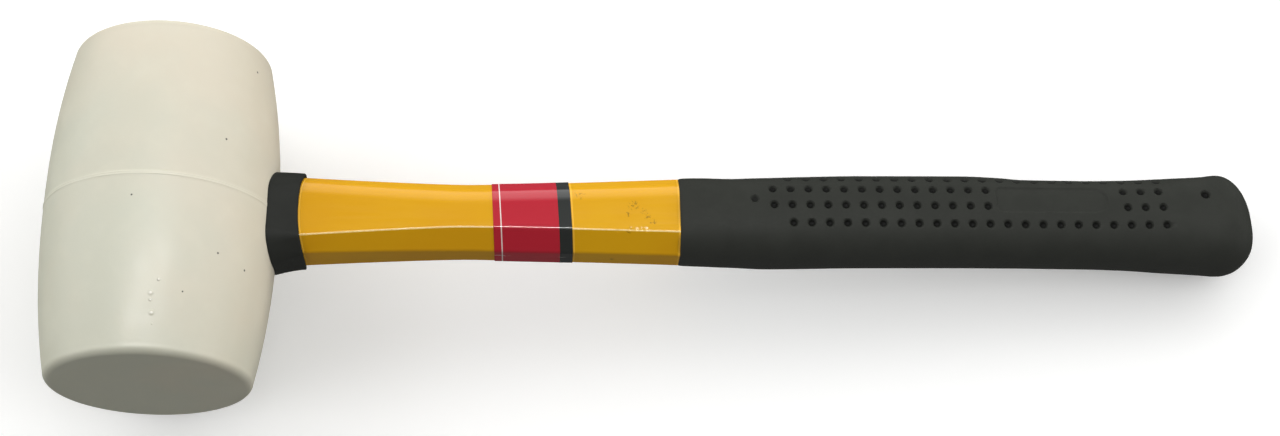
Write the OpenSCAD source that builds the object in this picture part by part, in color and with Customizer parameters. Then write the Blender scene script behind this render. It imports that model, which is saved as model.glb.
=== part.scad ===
// Soft-face rubber mallet: a barrel head moulded in white rubber on a handle
// with a fibreglass core, an eight-sided plastic jacket and a rubber grip.
//
// Everything is drawn in the handle's own axes and then laid down as one:
//   origin = centre of the head, X = along the handle towards the butt,
//   Y = along the head from face to face, Z = across the handle.
// Laid down, the mallet rests on the belly of the head and on the grip.
// Millimetres throughout.

/* [Head] */
// Diameter of each striking face
face_d = 55; // [44:0.5:68]
// How far the belly stands out beyond the faces, all round
bulge = 4.7; // [2:0.1:8]
// Length from striking face to striking face
head_len = 98.4; // [80:0.2:120]
// How full the barrel is: higher keeps the middle straighter
barrel_power = 2.22; // [1.6:0.02:3]
// Rounding where the barrel turns into a striking face
face_edge_r = 2; // [1:0.1:5]
// Width of the raised mould seam around the belly
seam_w = 1.5; // [0.8:0.1:3]
// Height of the raised mould seam
seam_h = 0.15; // [0.1:0.05:0.6]

/* [Lengths along the handle] */
// How far the collar stands out from the belly
collar_len = 6.8; // [5:0.1:12]
// Jacket left showing between the collar and the grip
neck_len = 106.6; // [86:0.2:130]
// Distance from the collar to the jacket's waist
waist_at = 37; // [28:0.5:48]
// Length of the rubber grip
grip_len = 166.6; // [138:0.2:200]

/* [Jacket] */
// Width of the jacket at its waist
waist_w = 20.4; // [17:0.1:24.6]
// Thickness of the jacket at its waist
waist_h = 17.4; // [14.4:0.1:21]
// Widening on each side where it enters the collar
front_flare = 1.45; // [0.6:0.05:2.4]
// Widening on each side where the grip starts
rear_flare = 1.65; // [0.6:0.05:2.4]
// Added thickness at both ends of the jacket
end_swell = 0.6; // [0:0.1:1]
// Corner flat of the eight-sided section
corner_flat = 5.1; // [4:0.1:6.2]
// Corner flat, measured down the side, where the jacket enters the collar
corner_flat_front = 2.6; // [2:0.1:4]

/* [Bar, core and eye] */
// How far the plain bar lies under the waist, at each side
bar_inset_w = 0.7; // [0.5:0.1:1.5]
// How far the plain bar lies under the waist, top and bottom
bar_inset_h = 1.7; // [1.2:0.1:2.2]
// Plastic around the fibreglass core, top and bottom
core_wall = 1.5; // [1:0.1:2.5]
// Adhesive between the bar and the eye of the head
bond_t = 0.8; // [0.4:0.1:1.5]
// How far the bar stops short of the belly on the head's far side
tang_setback = 3.7; // [2.8:0.1:8]

/* [Collar] */
// Rubber around the jacket at the collar's rim
collar_wall = 0.85; // [0.6:0.05:1.5]
// Widening on each side from the rim to the head
collar_flare = 1.05; // [0.4:0.05:2]
// Corner flat of the collar
collar_flat = 4; // [3:0.1:5]
// Depth of the pocket that the jacket's end drops into
pocket_depth = 2.4; // [1.5:0.1:4]
// Shadow gap left around the jacket in that pocket
pocket_gap = 0.3; // [0.15:0.05:0.4]

/* [Label] */
// Distance from the collar to the label's near edge
label_at = 53.8; // [40:0.2:58]
// Length of the label along the handle
label_len = 22; // [12:0.5:28]
// Thickness of the wrapped label
label_t = 0.2; // [0.1:0.05:0.4]

/* [Grip] */
// How far the hand swell stands out beyond the waist, at each side
swell_out_w = 2.85; // [2.4:0.05:4]
// How far the hand swell stands out beyond the waist, top and bottom
swell_out_h = 2.05; // [1.7:0.05:3]
// Squareness of the grip's section: 2 is an ellipse
grip_power = 2.6; // [2.2:0.1:3.2]
// How much wider the butt flares than the hand swell
butt_flare = 1.11; // [1.05:0.01:1.25]
// Length of the rounded end of the butt
butt_cap = 9.4; // [7:0.2:12]

/* [Grip texture] */
// Diameter of a dimple
dimple_d = 2.4; // [1.4:0.1:3]
// Depth of a dimple
dimple_depth = 0.8; // [0.2:0.05:1.2]
// Spacing of the dimples along the grip
dimple_pitch = 5.1; // [4:0.1:7]
// Length of the blank panel
panel_len = 32.5; // [20:0.5:40]
// Width of the blank panel
panel_w = 8.2; // [6:0.2:9]
// Depth of the blank panel at its edges
panel_depth = 0.35; // [0.2:0.05:0.6]

/* [Output] */
// One sub-part by name, or all of them

/* [Hidden] */
$fn = 96;
cut = 1;                        // how far a cutter runs past what it cuts

// --- head
face_r = face_d / 2;
belly_r = face_r + bulge;
rest_r = belly_r + seam_h;      // radius that touches the floor
barrel_steps = 26;              // straight lines along the barrel's curve
edge_steps = 5;                 // straight lines around a face's edge
seam_top = 0.6;                 // share of the seam's width that is level

// --- stations along the handle, from the head's centre
collar_x = belly_r + collar_len;
waist_x = collar_x + waist_at;
label_x = collar_x + label_at;
grip_x = collar_x + neck_len;
grip_end_x = grip_x + grip_len;

// --- bar, core and bond
bar_w = waist_w - 2 * bar_inset_w;
bar_h = waist_h - 2 * bar_inset_h;
core_d = bar_h - 2 * core_wall;
bar_x0 = tang_setback - belly_r;
bar_x1 = grip_end_x - 14;
core_x1 = bar_x1 - 4;
bond_cap = 1.6;                 // adhesive over the end of the bar
bond_x1 = belly_r - 3;

// --- jacket
front_w = waist_w + 2 * front_flare;
rear_w = waist_w + 2 * rear_flare;
rear_power = 1.3;               // how the jacket widens behind the waist
front_power = 2;                // and ahead of it
jacket_x0 = collar_x - pocket_depth;
flat_run = 30;                  // length over which the front flat changes
front_steps = 9;
label_steps = 2;
rear_steps = 4;

// --- collar
collar_rim_w = front_w + 2 * collar_wall;
collar_rim_h = waist_h + end_swell + 2 * collar_wall;
collar_foot_x = belly_r - 1.7;  // where the foot's width is measured
collar_root_x = belly_r - 8;    // start of the blank, inside the head

// --- grip: distance, width and thickness factors, sideways lean
swell_w = waist_w + 2 * swell_out_w;
swell_h = waist_h + 2 * swell_out_h;
grip_sides = 40;
lip = 1.9;                      // length of the rounded front lip
neck = 6.4;                     // length over which the front fills out
grip_stations = [
    [grip_x, 0.925, 0.88, -0.2],
    [grip_x + lip, 0.945, 0.93, -0.2],
    [grip_x + neck, 0.955, 0.95, -0.25],
    [grip_x + 0.0908 * grip_len, 0.96, 0.96, -0.5],
    [grip_x + 0.1412 * grip_len, 0.985, 0.985, -0.55],
    [grip_x + 0.2118 * grip_len, 0.995, 0.995, -0.3],
    [grip_x + 0.3126 * grip_len, 1, 1, 0.05],
    [grip_x + 0.4941 * grip_len, 1, 1, 0.15],
    [grip_x + 0.5597 * grip_len, 0.985, 0.985, -0.1],
    [grip_x + 0.6 * grip_len, 0.965, 0.97, -0.4],
    [grip_x + 0.7008 * grip_len, 0.965, 0.97, -0.6],
    [grip_x + 0.7765 * grip_len, 0.985, 0.985, -0.7],
    [grip_x + 0.8501 * grip_len, (1 + butt_flare) / 2 - 0.02, (1 + butt_flare) / 2 - 0.02, -0.8],
    [grip_x + 0.9156 * grip_len, butt_flare - 0.03, butt_flare - 0.03, -0.8],
    [grip_end_x - butt_cap, butt_flare, butt_flare, -0.7]
];
cap_steps = 6;
cap_last = 80;                  // degrees round the butt at its flat end
cap_power = 0.8;                // under 1 makes the end fuller than round
cap_lean = 2;                 // extra sideways lean at the tip

// --- grip texture; across the grip, 1 is half the width of the swell
texture_end = 0.836 * grip_len; // no dimples past this distance up the grip
dimple_x0 = grip_x + 0.1588 * grip_len;
panel_x = grip_x + 0.6408 * grip_len;
panel_y = 0.232 * swell_w / 2;
panel_margin = 2.4;             // least plain rubber ahead of the panel
panel_tail = 4.5;               // plain rubber behind it
rows_rear_x = panel_x + panel_len / 2 + panel_tail;
front_n = 1 + floor((panel_x - panel_len / 2 - panel_margin - dimple_x0) / dimple_pitch);
rear_n = 1 + floor((grip_x + texture_end - rows_rear_x) / dimple_pitch);
long_n = floor((grip_x + texture_end - dimple_x0) / dimple_pitch);
broken_rows = [0.46, 0.065];    // rows that the panel interrupts
long_rows = [-0.36, 0.78];
lead_in = 5.3;                  // single dimple ahead of the rows
lead_y = 0.215 * swell_w / 2;
pin_x = grip_x + 0.9091 * grip_len; // round blind mark near the butt
pin_y = 0.345 * swell_w / 2;
pin_d = 2.6;
pin_depth = 2;

// ---------------------------------------------------------------- functions
function barrel_r(s) = belly_r - (belly_r - face_r) * pow(abs(2 * s / head_len), barrel_power);

// Half-width of the jacket at distance x
function jacket_half_w(x) = x > waist_x
    ? (waist_w + (rear_w - waist_w) * pow((x - waist_x) / (grip_x - waist_x), rear_power)) / 2
    : (waist_w + (front_w - waist_w) * pow((waist_x - x) / (waist_x - jacket_x0), front_power)) / 2;

// Half-thickness of the jacket at distance x
function jacket_half_h(x) = (waist_h + end_swell * (x > waist_x
    ? (x - waist_x) / (grip_x - waist_x)
    : (waist_x - x) / (waist_x - jacket_x0))) / 2;

// Corner flat measured down the side at distance x
function jacket_flat_z(x) = corner_flat - (corner_flat - corner_flat_front)
    * min(1, max(0, (jacket_x0 + flat_run - x) / flat_run));

// Eight corners of a section: half sizes a and h, corner flats fy and fz
function octagon(x, a, h, fy, fz) = [
    [x, a, h - fz], [x, a - fy, h], [x, fy - a, h], [x, -a, h - fz],
    [x, -a, fz - h], [x, fy - a, -h], [x, a - fy, -h], [x, a, fz - h]
];

// The same section with every side moved out by t
function grown(x, a, h, fy, fz, t) = let (slant = norm([fy, fz]))
    octagon(x, a + t, h + t, fy + t * (1 - (slant - fy) / fz), fz + t * (1 - (slant - fz) / fy));

function jacket_section(x, t = 0) =
    grown(x, jacket_half_w(x), jacket_half_h(x), corner_flat, jacket_flat_z(x), t);

function spread(x0, x1, n) = [for (i = [0 : n - 1]) x0 + (x1 - x0) * i / n];

label_x1 = label_x + label_len;
label_xs = concat(spread(label_x, label_x1, label_steps), [label_x1]);
jacket_xs = concat(spread(jacket_x0, label_x, front_steps), spread(label_x, label_x1, label_steps),
    spread(label_x1, grip_x, rear_steps), [grip_x]);

function signed_pow(v, p) = sign(v) * pow(abs(v), p);

// Rounded section of the grip: half sizes a and h, moved sideways by y0
function rounded(x, a, h, y0) = [for (i = [0 : grip_sides - 1]) let (t = 360 * i / grip_sides)
    [x, y0 + a * signed_pow(cos(t), 2 / grip_power), h * signed_pow(sin(t), 2 / grip_power)]];

butt = grip_stations[len(grip_stations) - 1];
cap_stations = [for (k = [1 : cap_steps]) let (t = cap_last * k / cap_steps)
    [butt[0] + butt_cap * sin(t) / sin(cap_last), butt[1] * pow(cos(t), cap_power), butt[2] * pow(cos(t), cap_power),
        butt[3] - cap_lean * pow(sin(t), 2)]];
all_stations = concat(grip_stations, cap_stations);
grip_sections = [for (s = all_stations)
    rounded(s[0], s[1] * swell_w / 2, s[2] * swell_h / 2, s[3])];

function grip_at(x, column) = lookup(x, [for (s = all_stations) [s[0], s[column]]]);
function grip_a(x) = grip_at(x, 1) * swell_w / 2;
function grip_h(x) = grip_at(x, 2) * swell_h / 2;
function grip_z(x, y) = grip_h(x)
    * pow(1 - pow(abs(y - grip_at(x, 3)) / grip_a(x), grip_power), 1 / grip_power);

// Lean of the grip's surface at a point: 0 faces +Z, 90 faces +Y
function grip_lean(x, y) = let (u = y - grip_at(x, 3), z = grip_z(x, y))
    atan2(sign(u) * pow(abs(u), grip_power - 1) / pow(grip_a(x), grip_power),
        pow(z, grip_power - 1) / pow(grip_h(x), grip_power));

// Angle at which a point (x, -h) of the grip's underside meets the floor
function touch_angle(x, h) = asin(rest_r / norm([x, h])) - atan2(h, x);
droop = min([for (s = all_stations) touch_angle(s[0], s[2] * swell_h / 2)]);

reach = max([for (section = grip_sections) for (p = section) p.x * cos(droop) + p.z * sin(droop)]);
back_x = barrel_r(bar_w / 2 + bond_t);   // belly's reach beside the eye
shift_x = -(reach - back_x) / 2;

// ---------------------------------------------------------------- helpers
// Lays the mallet down: centre of its footprint at the origin, floor at zero
module lie() {
    translate([shift_x, 0, rest_r]) rotate([0, droop, 0]) children();
}

// Solid through a run of sections that all have the same number of points
module loft(sections) {
    n = len(sections[0]);
    last = len(sections) - 1;
    polyhedron(
        points = [for (section = sections) for (p = section) p],
        faces = concat(
            [[for (i = [0 : n - 1]) i]],
            [[for (i = [n - 1 : -1 : 0]) last * n + i]],
            [for (k = [0 : last - 1]) for (i = [0 : n - 1]) [(k + 1) * n + i, k * n + (i + 1) % n, k * n + i]],
            [for (k = [0 : last - 1]) for (i = [0 : n - 1])
                [(k + 1) * n + i, (k + 1) * n + (i + 1) % n, k * n + (i + 1) % n]]
        )
    );
}

// Tube between two runs of sections
module tube(outer, inner) {
    n = len(outer[0]);
    last = len(outer) - 1;
    base = n * len(outer);
    polyhedron(
        points = concat([for (section = outer) for (p = section) p], [for (section = inner) for (p = section) p]),
        faces = concat(
            [for (k = [0 : last - 1]) for (i = [0 : n - 1]) [(k + 1) * n + i, k * n + (i + 1) % n, k * n + i]],
            [for (k = [0 : last - 1]) for (i = [0 : n - 1])
                [(k + 1) * n + i, (k + 1) * n + (i + 1) % n, k * n + (i + 1) % n]],
            [for (k = [0 : last - 1]) for (i = [0 : n - 1])
                [base + (k + 1) * n + i, base + k * n + i, base + k * n + (i + 1) % n]],
            [for (k = [0 : last - 1]) for (i = [0 : n - 1])
                [base + (k + 1) * n + i, base + k * n + (i + 1) % n, base + (k + 1) * n + (i + 1) % n]],
            [for (i = [0 : n - 1]) [(i + 1) % n, base + (i + 1) % n, base + i, i]],
            [for (i = [0 : n - 1]) [base + last * n + i, base + last * n + (i + 1) % n,
                last * n + (i + 1) % n, last * n + i]]
        )
    );
}

// Flat-sided bar with round edges, along X, with every side moved out by t
module bar(x0, x1, t = 0) {
    r = bar_h / 2 + t;
    y = bar_w / 2 - bar_h / 2;
    for (side = [-1, 1])
        translate([x0, side * y, 0]) rotate([0, 90, 0]) cylinder(r = r, h = x1 - x0);
    translate([x0, -y, -r]) cube([x1 - x0, 2 * y, 2 * r]);
}

// Solid barrel with rounded face edges and the raised seam
module barrel() {
    edge_s = head_len / 2 - face_edge_r;
    edge_r = barrel_r(edge_s);
    half = concat(
        [[0, 0], [rest_r, 0], [rest_r, seam_top * seam_w / 2], [barrel_r(seam_w / 2), seam_w / 2]],
        [for (i = [1 : barrel_steps]) let (s = seam_w / 2 + (edge_s - seam_w / 2) * i / barrel_steps)
            [barrel_r(s), s]],
        [for (i = [1 : edge_steps]) let (t = 90 * i / edge_steps)
            [edge_r - face_edge_r * (1 - cos(t)), edge_s + face_edge_r * sin(t)]],
        [[0, head_len / 2]]
    );
    outline = concat([for (p = half) if (p.x > 0) p], [[0, head_len / 2], [0, -head_len / 2]],
        [for (i = [len(half) - 2 : -1 : 2]) [half[i].x, -half[i].y]]);
    rotate([-90, 0, 0]) rotate_extrude() polygon(outline);
}

// Round blind mark sunk square to the grip's upper surface
module dimple(x, y, d = dimple_d, depth = dimple_depth) {
    translate([x, y, grip_z(x, y)]) rotate([-grip_lean(x, y), 0, 0])
        translate([0, 0, -depth]) cylinder(d = d, h = depth + cut);
}

// ---------------------------------------------------------------- sub-parts
module head() {
    color([0.84, 0.83, 0.76]) lie() difference() {
        barrel();
        bar(-belly_r - cut, belly_r + cut, bond_t);
    }
}

module eye_bond() {
    color([0.86, 0.8, 0.62]) lie() difference() {
        bar(bar_x0 - bond_cap, bond_x1, bond_t);
        bar(bar_x0, bond_x1 + cut);
    }
}

module core_rod() {
    color([0.85, 0.82, 0.66]) lie()
        translate([bar_x0, 0, 0]) rotate([0, 90, 0]) cylinder(d = core_d, h = core_x1 - bar_x0);
}

module jacket() {
    color([0.88, 0.65, 0.12]) lie() difference() {
        union() {
            bar(bar_x0, bar_x1);
            loft([for (x = jacket_xs) jacket_section(x)]);
        }
        translate([bar_x0 - cut, 0, 0]) rotate([0, 90, 0]) cylinder(d = core_d, h = core_x1 - bar_x0 + cut);
    }
}

module collar() {
    // flare per millimetre, run on past the head's surface into the head
    slope = collar_flare / (collar_x - collar_foot_x);
    root = slope * (collar_x - collar_root_x);
    pocket = [for (x = [jacket_x0, collar_x + cut]) grown(x, jacket_half_w(jacket_x0),
        jacket_half_h(jacket_x0), corner_flat, corner_flat_front, pocket_gap)];
    color([0.2, 0.2, 0.19]) lie() difference() {
        loft([
            octagon(collar_root_x, collar_rim_w / 2 + root, collar_rim_h / 2 + root, collar_flat, collar_flat),
            octagon(collar_x, collar_rim_w / 2, collar_rim_h / 2, collar_flat, collar_flat)
        ]);
        barrel();
        bar(collar_root_x - cut, collar_x + cut);
        loft(pocket);
    }
}

module label() {
    color([0.78, 0.14, 0.22]) lie()
        tube([for (x = label_xs) jacket_section(x, label_t)], [for (x = label_xs) jacket_section(x)]);
}

module grip() {
    color([0.23, 0.24, 0.22]) lie() difference() {
        loft(grip_sections);
        bar(grip_x - cut, bar_x1);
        for (row = broken_rows) {
            for (column = [0 : front_n - 1]) dimple(dimple_x0 + column * dimple_pitch, row * swell_w / 2);
            for (column = [0 : rear_n - 1]) dimple(rows_rear_x + column * dimple_pitch, row * swell_w / 2);
        }
        for (row = long_rows)
            for (column = [1 : long_n]) dimple(dimple_x0 + column * dimple_pitch, row * swell_w / 2);
        dimple(dimple_x0 - lead_in, lead_y);
        dimple(pin_x, pin_y, pin_d, pin_depth);
        blank_panel();
    }
}

// Shallow flat pocket with round ends, tipped to lie along the surface
module blank_panel() {
    near = grip_z(panel_x, panel_y - panel_w / 2);
    far = grip_z(panel_x, panel_y + panel_w / 2);
    half_run = (panel_len - panel_w) / 2;
    translate([panel_x, panel_y, (near + far) / 2]) rotate([atan2(far - near, panel_w), 0, 0])
        translate([0, 0, -panel_depth]) {
            for (side = [-1, 1])
                translate([side * half_run, 0, 0]) cylinder(d = panel_w, h = panel_depth + 2);
            translate([-half_run, -panel_w / 2, 0]) cube([2 * half_run, panel_w, panel_depth + 2]);
        }
}

head();
eye_bond();
core_rod();
jacket();
collar();
label();
grip();
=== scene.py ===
"""Soft-face rubber mallet lying on its side: meshes, finishes and studio.

Every piece is built in the handle's own axes, in millimetres, and then placed in the
row frame: the origin is the middle of the head, X runs along the handle to the butt,
Y along the head from face to face, and Z across the handle.
"""

from __future__ import annotations

import logging
import math
from collections.abc import Sequence
from dataclasses import dataclass, field
from enum import Enum
from typing import Any

import bpy
import numpy as np
from mathutils import Matrix, Vector

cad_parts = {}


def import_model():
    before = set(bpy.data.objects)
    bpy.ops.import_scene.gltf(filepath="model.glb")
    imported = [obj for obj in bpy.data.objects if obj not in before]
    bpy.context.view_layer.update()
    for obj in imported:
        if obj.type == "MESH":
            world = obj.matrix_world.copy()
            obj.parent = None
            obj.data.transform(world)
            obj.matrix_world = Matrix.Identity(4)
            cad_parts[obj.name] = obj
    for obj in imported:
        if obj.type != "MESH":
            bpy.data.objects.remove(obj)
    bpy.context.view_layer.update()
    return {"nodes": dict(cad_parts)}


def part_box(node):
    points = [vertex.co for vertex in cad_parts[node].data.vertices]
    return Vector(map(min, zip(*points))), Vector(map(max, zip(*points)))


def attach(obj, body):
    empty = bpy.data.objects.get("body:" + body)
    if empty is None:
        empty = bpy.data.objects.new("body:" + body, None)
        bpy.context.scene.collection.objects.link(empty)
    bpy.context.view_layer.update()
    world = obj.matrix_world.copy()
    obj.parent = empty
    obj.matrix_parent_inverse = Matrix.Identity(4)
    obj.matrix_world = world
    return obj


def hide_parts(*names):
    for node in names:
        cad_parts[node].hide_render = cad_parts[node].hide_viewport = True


LOG = logging.getLogger("mallet")
MM = 0.001
PIT_SHADE = "pit_shade"
CREASE_HIGHLIGHT = "crease"
BODY = "root"

Point = tuple[float, float]
Ring = np.ndarray
Tree = bpy.types.NodeTree
Node = bpy.types.Node
Socket = bpy.types.NodeSocket
Values = dict[str | int, Any]
Links = dict[str | int, Socket]


# ------------------------------------------------------------------ placing and meshing


@dataclass(frozen=True)
class Placement:
    """Where the handle's own axes lie in the row frame."""

    centre: Vector
    droop: float

    @classmethod
    def from_frame(cls) -> Placement:
        """Reads the head's middle and the rod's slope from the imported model."""
        low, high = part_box("head")
        centre = (low + high) / 2
        low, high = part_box("core_rod")
        along = (low + high) / 2 - centre
        return cls(centre, math.atan2(-along.z, along.x))

    def matrix(self) -> Matrix:
        """The handle's axes as a matrix in the row frame."""
        return Matrix.Translation(self.centre) @ Matrix.Rotation(self.droop, 4, "Y")


def ring(xs: Sequence[float] | np.ndarray | float, section: Sequence[Point]) -> Ring:
    """Turns a section into points in the handle's axes.

    Args:
        xs: One distance along the handle, or one for each point.
        section: (y, z) pairs in order round the section.

    Returns:
        One row of x, y, z per point.
    """
    yz = np.asarray(section, float)
    return np.column_stack([np.broadcast_to(np.asarray(xs, float), len(yz)), yz])


def skin(name: str, rings: Sequence[Ring], looped: bool = False, sharp: float = 35.0) -> bpy.types.Object:
    """Joins a run of rings into one closed mesh.

    Args:
        name: Name of the new object.
        rings: Rings with the same number of points, in millimetres.
        looped: True to join the last ring to the first, False to close both ends.
        sharp: Edges bent by more than this many degrees stay sharp.

    Returns:
        The object, linked to the scene.
    """
    count, size = len(rings), len(rings[0])
    points = np.concatenate(rings) * MM
    faces: list[list[int]] = []
    for k in range(count if looped else count - 1):
        here, there = k * size, (k + 1) % count * size
        for i in range(size):
            j = (i + 1) % size
            faces.append([here + i, here + j, there + j, there + i])
    if not looped:
        faces.append(list(range(size))[::-1])
        faces.append([(count - 1) * size + i for i in range(size)])
    mesh = bpy.data.meshes.new(name)
    mesh.from_pydata(points.tolist(), [], faces)
    mesh.validate()
    if signed_volume(mesh) < 0:
        mesh.flip_normals()
    return smooth_object(name, mesh, sharp)


def smooth_object(name: str, mesh: bpy.types.Mesh, sharp: float) -> bpy.types.Object:
    """Shades a mesh smooth except at its sharp edges, and links it as an object.

    Args:
        name: Name of the new object.
        mesh: The mesh, in metres.
        sharp: Edges bent by more than this many degrees stay sharp.

    Returns:
        The object, linked to the scene.
    """
    mesh.polygons.foreach_set("use_smooth", [True] * len(mesh.polygons))
    mesh.set_sharp_from_angle(angle=math.radians(sharp))
    piece = bpy.data.objects.new(name, mesh)
    bpy.context.scene.collection.objects.link(piece)
    return piece


def signed_volume(mesh: bpy.types.Mesh) -> float:
    """The mesh's volume, below zero if its faces point inwards."""
    mesh.calc_loop_triangles()
    corners = np.zeros(len(mesh.vertices) * 3)
    mesh.vertices.foreach_get("co", corners)
    corners = corners.reshape(-1, 3)
    order = np.zeros(len(mesh.loop_triangles) * 3, np.int32)
    mesh.loop_triangles.foreach_get("vertices", order)
    a, b, c = (corners[order.reshape(-1, 3)[:, k]] for k in range(3))
    return float(np.einsum("ij,ij->", a, np.cross(b, c)) / 6)


def even_normals(piece: bpy.types.Object) -> None:
    """Keeps wide flats flat-looking beside their rounded corners."""
    weighted = piece.modifiers.new("flat sides", "WEIGHTED_NORMAL")
    weighted.keep_sharp = True
    weighted.weight = 80


def carve(piece: bpy.types.Object, cutter: bpy.types.Object) -> None:
    """Cuts the cutter's shape out of a piece and removes the cutter.

    Args:
        piece: The object that is cut.
        cutter: A closed mesh.
    """
    cut = piece.modifiers.new("cut", "BOOLEAN")
    cut.operation = "DIFFERENCE"
    cut.solver = "EXACT"
    cut.object = cutter
    evaluated = piece.evaluated_get(bpy.context.evaluated_depsgraph_get())
    mesh = bpy.data.meshes.new_from_object(evaluated)
    piece.modifiers.clear()
    old, piece.data = piece.data, mesh
    bpy.data.meshes.remove(old)
    bpy.data.meshes.remove(cutter.data)


def fit(piece: bpy.types.Object, place: Placement, node: str, finish: Finish) -> None:
    """Puts a finished piece in the frame in place of its CAD node.

    Args:
        piece: The piece, in the handle's axes.
        place: Where those axes lie.
        node: The CAD node that it stands for.
        finish: What it is made of.
    """
    piece.matrix_world = place.matrix()
    if not piece.data.materials:
        piece.data.materials.append(finish.material())
    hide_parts(node)
    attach(piece, BODY)
    LOG.info("%s: %d faces, stands for %s", piece.name, len(piece.data.polygons), node)


# ------------------------------------------------------------------ sections


def rounded_polygon(corners: Sequence[Point], radii: Sequence[float], arc: int, flat: int) -> list[Point]:
    """Rounds each corner of a convex polygon.

    Args:
        corners: The sharp corners, counter-clockwise.
        radii: One radius for each corner.
        arc: Points on each rounded corner.
        flat: Points inside each straight side.

    Returns:
        Points in order, the same number for every polygon with as many corners.
    """
    spots = [np.array(p, float) for p in corners]
    count = len(spots)
    arcs: list[list[np.ndarray]] = []
    for i, (spot, radius) in enumerate(zip(spots, radii)):
        back = spots[i - 1] - spot
        ahead = spots[(i + 1) % count] - spot
        back, ahead = back / np.linalg.norm(back), ahead / np.linalg.norm(ahead)
        half = math.acos(float(np.clip(back @ ahead, -1, 1))) / 2
        middle = (back + ahead) / np.linalg.norm(back + ahead)
        centre = spot + middle * radius / math.sin(half)
        turn = math.pi / 2 - half
        side = np.array([-middle[1], middle[0]])
        if side @ back < 0:
            side = -side
        arcs.append([
            centre + radius * (-middle * math.cos(a) + side * math.sin(a))
            for a in np.linspace(turn, -turn, arc)
        ])
    points: list[Point] = []
    for i in range(count):
        points.extend(tuple(p) for p in arcs[i])
        start, end = arcs[i][-1], arcs[(i + 1) % count][0]
        points.extend(tuple(start + (end - start) * k / (flat + 1)) for k in range(1, flat + 1))
    return points


def both_halves(upper: Sequence[Point]) -> list[Point]:
    """A section's upper corners, then the same corners mirrored below."""
    return [*upper, *((y, -z) for y, z in reversed(upper))]


def obround_at(angles: np.ndarray, half_w: float, half_h: float) -> list[Point]:
    """Where rays at these angles meet a flat-sided bar with round edges.

    Args:
        angles: Angles from +Y towards +Z, in radians.
        half_w: Half its width, along Y.
        half_h: Half its thickness, along Z.

    Returns:
        One (y, z) point for each angle.
    """
    flat = half_w - half_h
    points: list[Point] = []
    for angle in angles:
        c, s = math.cos(angle), math.sin(angle)
        reach = half_h / max(abs(s), 1e-9)
        if abs(reach * c) > flat:
            b = abs(c) * flat
            reach = b + math.sqrt(max(b * b - flat * flat + half_h * half_h, 0))
        points.append((reach * c, reach * s))
    return points


def angles_of(section: Sequence[Point]) -> np.ndarray:
    """The angle of each point of a section, from +Y towards +Z."""
    yz = np.asarray(section, float)
    return np.arctan2(yz[:, 1], yz[:, 0])


# ------------------------------------------------------------------ finishes


class Grain(Enum):
    """Sizes of the patterns that these mouldings show, in millimetres."""

    CLOUD = 26.0
    PATCH = 7.0
    SPECKLE = 1.1
    TOOTH = 0.55


def linear(hex_colour: str) -> tuple[float, float, float, float]:
    """An sRGB hex colour such as "#d8d4c0" as linear RGBA."""
    channels = [int(hex_colour.lstrip("#")[k : k + 2], 16) / 255 for k in (0, 2, 4)]
    bent = [c / 12.92 if c <= 0.04045 else ((c + 0.055) / 1.055) ** 2.4 for c in channels]
    return bent[0], bent[1], bent[2], 1.0


def plug(tree: Tree, node: Node, values: Values | None = None, links: Links | None = None) -> None:
    """Sets and links some inputs of a node.

    Args:
        tree: The material's node tree.
        node: The node.
        values: Input sockets, by name or number, and the values that they hold.
        links: Input sockets, by name or number, and the outputs that feed them.
    """
    for key, value in (values or {}).items():
        node.inputs[key].default_value = value
    for key, source in (links or {}).items():
        tree.links.new(source, node.inputs[key])


def add(
    tree: Tree, kind: str, values: Values | None = None, links: Links | None = None, **settings: Any
) -> Node:
    """Adds one node with its settings and links.

    Args:
        tree: The material's node tree.
        kind: Blender's name of the node type, without "ShaderNode".
        values: Input sockets and the values that they hold.
        links: Input sockets and the outputs that feed them.
        **settings: The node's own properties.

    Returns:
        The new node.
    """
    node = tree.nodes.new("ShaderNode" + kind)
    for key, value in settings.items():
        setattr(node, key, value)
    plug(tree, node, values, links)
    return node


def calc(tree: Tree, operation: str, *terms: Socket | float) -> Socket:
    """Adds one step of arithmetic.

    Args:
        tree: The material's node tree.
        operation: Blender's name of the operation.
        *terms: Its inputs in order, each an output or a number.

    Returns:
        The result's output.
    """
    values = {k: term for k, term in enumerate(terms) if isinstance(term, (int, float))}
    links = {k: term for k, term in enumerate(terms) if not isinstance(term, (int, float))}
    return add(tree, "Math", values, links, operation=operation).outputs[0]


def remap(
    tree: Tree, source: Socket, low: float, high: float, at_low: float = 0.0, at_high: float = 1.0
) -> Socket:
    """Stretches one range of values over another and holds it at both ends.

    Args:
        tree: The material's node tree.
        source: The values.
        low: Where the range starts.
        high: Where it ends.
        at_low: The result at its start.
        at_high: The result at its end.

    Returns:
        The result's output.
    """
    return add(tree, "MapRange", {1: low, 2: high, 3: at_low, 4: at_high}, {0: source}).outputs[0]


def noise(tree: Tree, where: Socket, size: float, detail: float, roughness: float = 0.5) -> Socket:
    """Adds a noise pattern.

    Args:
        tree: The material's node tree.
        where: The point being shaded.
        size: Size of one cell of the pattern, in millimetres.
        detail: How many finer layers it has.
        roughness: How strong the finer layers are.

    Returns:
        The pattern's output.
    """
    values = {"Scale": 1 / (size * MM), "Detail": detail, "Roughness": roughness}
    return add(tree, "TexNoise", values, {"Vector": where}).outputs["Fac"]


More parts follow.
